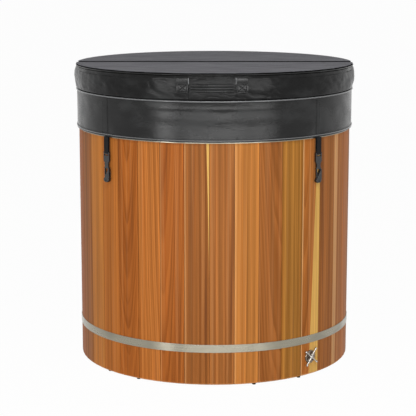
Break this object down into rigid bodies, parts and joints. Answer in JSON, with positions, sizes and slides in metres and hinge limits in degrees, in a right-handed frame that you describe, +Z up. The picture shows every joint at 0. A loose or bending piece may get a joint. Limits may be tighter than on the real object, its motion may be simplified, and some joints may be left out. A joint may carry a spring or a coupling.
{
  "type": "cold plunge tub",
  "caption": "Round coopered cedar tub held by steel hoops, with a cross-handle drain valve and a folding padded cover with skirt, carry handle and tie-down straps.",
  "frame": {"origin": "on the ground under the tub's axis, at the underside of the centre joist", "axes": "+Z up along the tub's axis; the front of the tub faces -Y and the fold of the cover runs along X"},
  "size_m": [1.088, 1.1023, 1.1651],
  "materials": {
    "cedar": "oiled red cedar with strong tone changes from stave to stave",
    "floor_cedar": "sawn cedar, unfinished",
    "steel": "rolled stainless strip",
    "chrome": "bright plated",
    "brass": "cast and turned",
    "rubber": "moulded",
    "foam": "cut closed-cell foam",
    "vinyl": "coated marine vinyl with a fine linen grain",
    "webbing": "woven polyester webbing",
    "buckle": "moulded acetal"
  },
  "bodies": {
    "tub": {"stave_01": "cedar", "stave_02": "cedar", "stave_03": "cedar", "stave_04": "cedar", "stave_05": "cedar", "stave_06": "cedar", "stave_07": "cedar", "stave_08": "cedar", "stave_09": "cedar", "stave_10": "cedar", "stave_11": "cedar", "stave_12": "cedar", "stave_13": "cedar", "stave_14": "cedar", "stave_15": "cedar", "stave_16": "cedar", "stave_17": "cedar", "stave_18": "cedar", "stave_19": "cedar", "stave_20": "cedar", "stave_21": "cedar", "stave_22": "cedar", "stave_23": "cedar", "stave_24": "cedar", "stave_25": "cedar", "stave_26": "cedar", "stave_27": "cedar", "stave_28": "cedar", "stave_29": "cedar", "stave_30": "cedar", "stave_31": "cedar", "stave_32": "cedar", "stave_33": "cedar", "stave_34": "cedar", "stave_35": "cedar", "stave_36": "cedar", "lower_hoop": "steel", "upper_hoop": "steel", "floor_panel": "floor_cedar", "left_joist": "floor_cedar", "centre_joist": "floor_cedar", "right_joist": "floor_cedar", "drain_strainer": "chrome", "drain_valve_body": "brass", "drain_escutcheon": "chrome"},
    "rear_cover": {"rear_foam_core": "foam", "rear_jacket": "vinyl", "rear_skirt": "vinyl"},
    "front_cover": {"front_foam_core": "foam", "front_jacket": "vinyl", "front_skirt": "vinyl", "carry_handle": "vinyl"},
    "left_strap_plug": {"left_strap": "webbing", "left_plug": "buckle"},
    "right_strap_plug": {"right_strap": "webbing", "right_plug": "buckle"},
    "left_buckle_socket": {"left_socket": "buckle"},
    "right_buckle_socket": {"right_socket": "buckle"},
    "valve_stem": {"valve_washer": "rubber"},
    "valve_handle": {"cross_handle": "chrome"}
  },
  "joints": [
    {"name": "cover_lift", "type": "slide", "parent": "tub", "child": "rear_cover", "axis": [0, 0, 1], "range_m": [0, 0.3]},
    {"name": "cover_fold", "type": "hinge", "parent": "rear_cover", "child": "front_cover", "pos_m": [0, 0, 1.1623], "axis": [-1, 0, 0], "range_deg": [0, 172]},
    {"name": "left_strap_swing", "type": "hinge", "parent": "front_cover", "child": "left_strap_plug", "pos_m": [-0.40085, -0.36347, 0.9139], "axis": [-0.6717, 0.7408, 0], "range_deg": [0, 85]},
    {"name": "right_strap_swing", "type": "hinge", "parent": "front_cover", "child": "right_strap_plug", "pos_m": [0.3866, -0.37859, 0.9139], "axis": [-0.6997, -0.7145, 0], "range_deg": [0, 85]},
    {"name": "left_buckle_release", "type": "slide", "parent": "left_strap_plug", "child": "left_buckle_socket", "axis": [0, 0, -1], "range_m": [0, 0.04]},
    {"name": "right_buckle_release", "type": "slide", "parent": "right_strap_plug", "child": "right_buckle_socket", "axis": [0, 0, -1], "range_m": [0, 0.04]},
    {"name": "valve_travel", "type": "slide", "parent": "tub", "child": "valve_stem", "axis": [0.682, -0.7314, 0], "range_m": [0, 0.0081]},
    {"name": "handle_turn", "type": "hinge", "parent": "valve_stem", "child": "valve_handle", "pos_m": [0.3751, -0.40224, 0.0736], "axis": [0.682, -0.7314, 0], "range_deg": [0, 540]}
  ],
  "couplings": [
    {"joint": "valve_travel", "follows": "handle_turn", "m_per_rad": 0.00084883}
  ]
}
